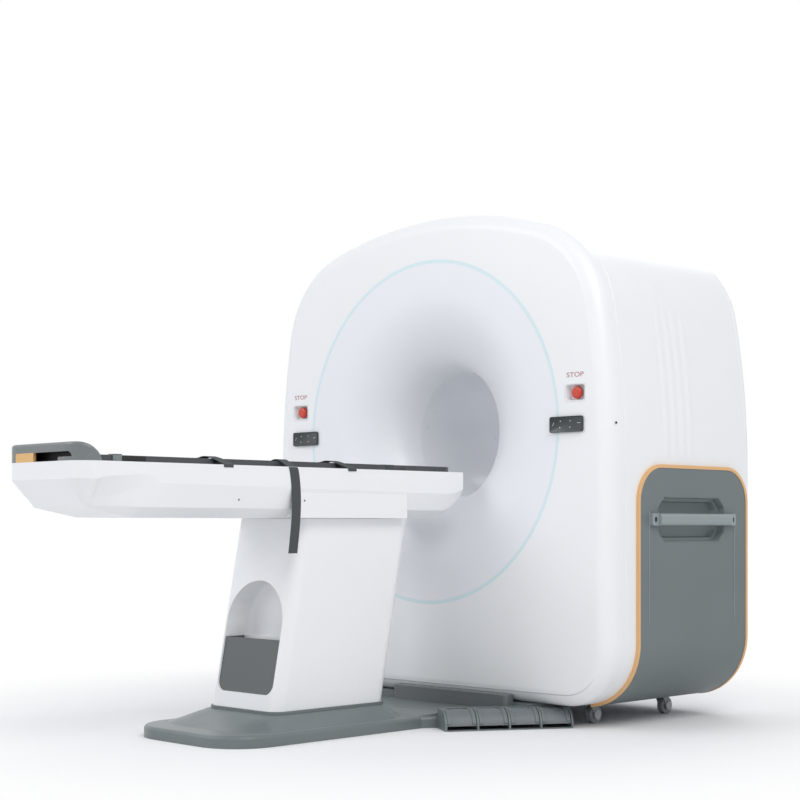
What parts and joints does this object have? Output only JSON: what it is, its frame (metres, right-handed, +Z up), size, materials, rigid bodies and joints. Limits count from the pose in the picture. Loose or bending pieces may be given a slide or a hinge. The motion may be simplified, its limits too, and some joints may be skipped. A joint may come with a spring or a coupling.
{
  "type": "ct scanner",
  "caption": "Compact CT scanner: arched gantry on casters with a trumpet bore and light ring, leaning table column with foot pedals, and a lifting table with a sliding board.",
  "frame": {"origin": "on the floor under the bore axis, in the plane of the gantry's flat front face", "axes": "+X to the right of someone facing the gantry, +Y along the bore axis away from the table, +Z up"},
  "size_m": [1.692, 2.373, 1.75],
  "materials": {
    "white_shell": "smooth satin gloss",
    "funnel_white": "smooth satin gloss",
    "light_diffuser": "frosted, faintly lit",
    "liner_clear": "thin satin film",
    "panel_grey": "fine moulded grain",
    "trim_orange": "satin",
    "grip_grey": "soft satin",
    "base_grey": "fine texture paint",
    "dock_dark": "satin",
    "pedal_grey": "satin rubber",
    "pocket_dark": "fine grain",
    "board_dark": "fine weave under satin resin",
    "strap_dark": "woven webbing",
    "hood_grey": "satin",
    "liner_black": "matte",
    "accent_orange": "satin",
    "keypad_dark": "glass-smooth overlay",
    "stop_red": "gloss",
    "bezel_white": "satin",
    "frame_steel": "powder coat",
    "deck_aluminium": "anodised",
    "lift_steel": "smooth paint",
    "rotor_aluminium": "machined",
    "bearing_steel": "ground",
    "tube_housing": "cast and painted",
    "detector_dark": "matte cover",
    "tank_grey": "painted",
    "slip_brass": "turned tracks",
    "brush_dark": "moulded",
    "belt_rubber": "matte",
    "motor_dark": "ribbed housing",
    "inlet_black": "matte",
    "caster_fork": "satin",
    "caster_wheel": "satin"
  },
  "bodies": {
    "machine": {"front_cover": "white_shell", "front_funnel": "funnel_white", "ring_light": "light_diffuser", "bore_liner": "liner_clear", "rear_funnel": "funnel_white", "rear_cover": "white_shell", "hood_shell": "white_shell", "side_panel_right": "panel_grey", "side_panel_left": "panel_grey", "panel_trim_right": "trim_orange", "panel_trim_left": "trim_orange", "grab_bar_right": "grip_grey", "grab_bar_left": "grip_grey", "power_inlet": "inlet_black", "chassis": "frame_steel", "stator_frame": "frame_steel", "bearing_outer": "bearing_steel", "brush_block": "brush_dark", "drive_belt": "belt_rubber", "drive_motor": "motor_dark", "control_panel_right": "keypad_dark", "control_panel_left": "keypad_dark", "stop_bezel_right": "bezel_white", "stop_bezel_left": "bezel_white", "base_plate": "base_grey", "dock_block": "dock_dark", "pedal_housing": "base_grey", "column_cover": "white_shell", "niche_pocket": "pocket_dark", "lift_outer_tube": "lift_steel"},
    "rotor": {"rotor_drum": "rotor_aluminium", "slip_ring": "slip_brass", "xray_tube": "tube_housing", "collimator": "rotor_aluminium", "detector_arc": "detector_dark", "hv_tanks": "tank_grey"},
    "pulley": {"drive_pulley": "bearing_steel"},
    "stop_right": {"stop_button_right": "stop_red"},
    "stop_left": {"stop_button_left": "stop_red"},
    "table": {"lift_inner_tube": "lift_steel", "table_housing": "white_shell", "table_deck": "deck_aluminium", "end_hood": "hood_grey", "slot_liner": "liner_black", "hood_accent": "accent_orange"},
    "cradle": {"cradle_board": "board_dark", "strap_loops": "strap_dark", "hanging_strap": "strap_dark"},
    "pedal_1": {"pedal_1": "pedal_grey"},
    "caster_1": {"caster_fork_1": "caster_fork"},
    "wheel_1": {"caster_wheel_1": "caster_wheel"},
    "pedal_2": {"pedal_2": "pedal_grey"},
    "caster_2": {"caster_fork_2": "caster_fork"},
    "wheel_2": {"caster_wheel_2": "caster_wheel"},
    "pedal_3": {"pedal_3": "pedal_grey"},
    "caster_3": {"caster_fork_3": "caster_fork"},
    "wheel_3": {"caster_wheel_3": "caster_wheel"},
    "pedal_4": {"pedal_4": "pedal_grey"},
    "caster_4": {"caster_fork_4": "caster_fork"},
    "wheel_4": {"caster_wheel_4": "caster_wheel"}
  },
  "joints": [
    {"name": "table_lift", "type": "slide", "parent": "machine", "child": "table", "axis": [0, 0, 1], "range_m": [0, 0.08]},
    {"name": "cradle_slide", "type": "slide", "parent": "table", "child": "cradle", "axis": [0, 1, 0], "range_m": [0, 0.85], "deforming": ["hanging_strap"]},
    {"name": "rotor_spin", "type": "hinge", "parent": "machine", "child": "rotor", "pos_m": [0, 0.42, 0.994], "axis": [0, 1, 0], "continuous": true},
    {"name": "pulley_spin", "type": "hinge", "parent": "machine", "child": "pulley", "pos_m": [-0.4371, 0.31, 0.47309], "axis": [0, 1, 0], "continuous": true},
    {"name": "stop_right_press", "type": "slide", "parent": "machine", "child": "stop_right", "axis": [0, 1, 0], "range_m": [0, 0.005], "stiffness_N_per_m": 400, "springref_m": -0.003},
    {"name": "stop_left_press", "type": "slide", "parent": "machine", "child": "stop_left", "axis": [0, 1, 0], "range_m": [0, 0.005], "stiffness_N_per_m": 400, "springref_m": -0.003},
    {"name": "pedal_1_press", "type": "hinge", "parent": "machine", "child": "pedal_1", "pos_m": [0.34037, -0.21382, 0.055], "axis": [0.53, 0.848, 0], "range_deg": [0, 6], "stiffness_Nm_per_rad": 2, "springref_deg": -6.88},
    {"name": "pedal_2_press", "type": "hinge", "parent": "machine", "child": "pedal_2", "pos_m": [0.39695, -0.1233, 0.055], "axis": [0.53, 0.848, 0], "range_deg": [0, 6], "stiffness_Nm_per_rad": 2, "springref_deg": -6.88},
    {"name": "pedal_3_press", "type": "hinge", "parent": "machine", "child": "pedal_3", "pos_m": [0.45353, -0.03277, 0.055], "axis": [0.53, 0.848, 0], "range_deg": [0, 6], "stiffness_Nm_per_rad": 2, "springref_deg": -6.88},
    {"name": "pedal_4_press", "type": "hinge", "parent": "machine", "child": "pedal_4", "pos_m": [0.5101, 0.05775, 0.055], "axis": [0.53, 0.848, 0], "range_deg": [0, 6], "stiffness_Nm_per_rad": 2, "springref_deg": -6.88},
    {"name": "caster_1_swivel", "type": "hinge", "parent": "machine", "child": "caster_1", "pos_m": [0.58, 0.193, 0.075], "axis": [0, 0, 1], "continuous": true},
    {"name": "wheel_1_spin", "type": "hinge", "parent": "caster_1", "child": "wheel_1", "pos_m": [0.58, 0.21, 0.03], "axis": [1, 0, 0], "continuous": true},
    {"name": "caster_2_swivel", "type": "hinge", "parent": "machine", "child": "caster_2", "pos_m": [0.58, 0.595, 0.075], "axis": [0, 0, 1], "continuous": true},
    {"name": "wheel_2_spin", "type": "hinge", "parent": "caster_2", "child": "wheel_2", "pos_m": [0.58, 0.612, 0.03], "axis": [1, 0, 0], "continuous": true},
    {"name": "caster_3_swivel", "type": "hinge", "parent": "machine", "child": "caster_3", "pos_m": [-0.58, 0.193, 0.075], "axis": [0, 0, 1], "continuous": true},
    {"name": "wheel_3_spin", "type": "hinge", "parent": "caster_3", "child": "wheel_3", "pos_m": [-0.58, 0.21, 0.03], "axis": [1, 0, 0], "continuous": true},
    {"name": "caster_4_swivel", "type": "hinge", "parent": "machine", "child": "caster_4", "pos_m": [-0.58, 0.595, 0.075], "axis": [0, 0, 1], "continuous": true},
    {"name": "wheel_4_spin", "type": "hinge", "parent": "caster_4", "child": "wheel_4", "pos_m": [-0.58, 0.612, 0.03], "axis": [1, 0, 0], "continuous": true}
  ],
  "couplings": [
    {"joint": "pulley_spin", "follows": "rotor_spin", "ratio": 11.888}
  ]
}
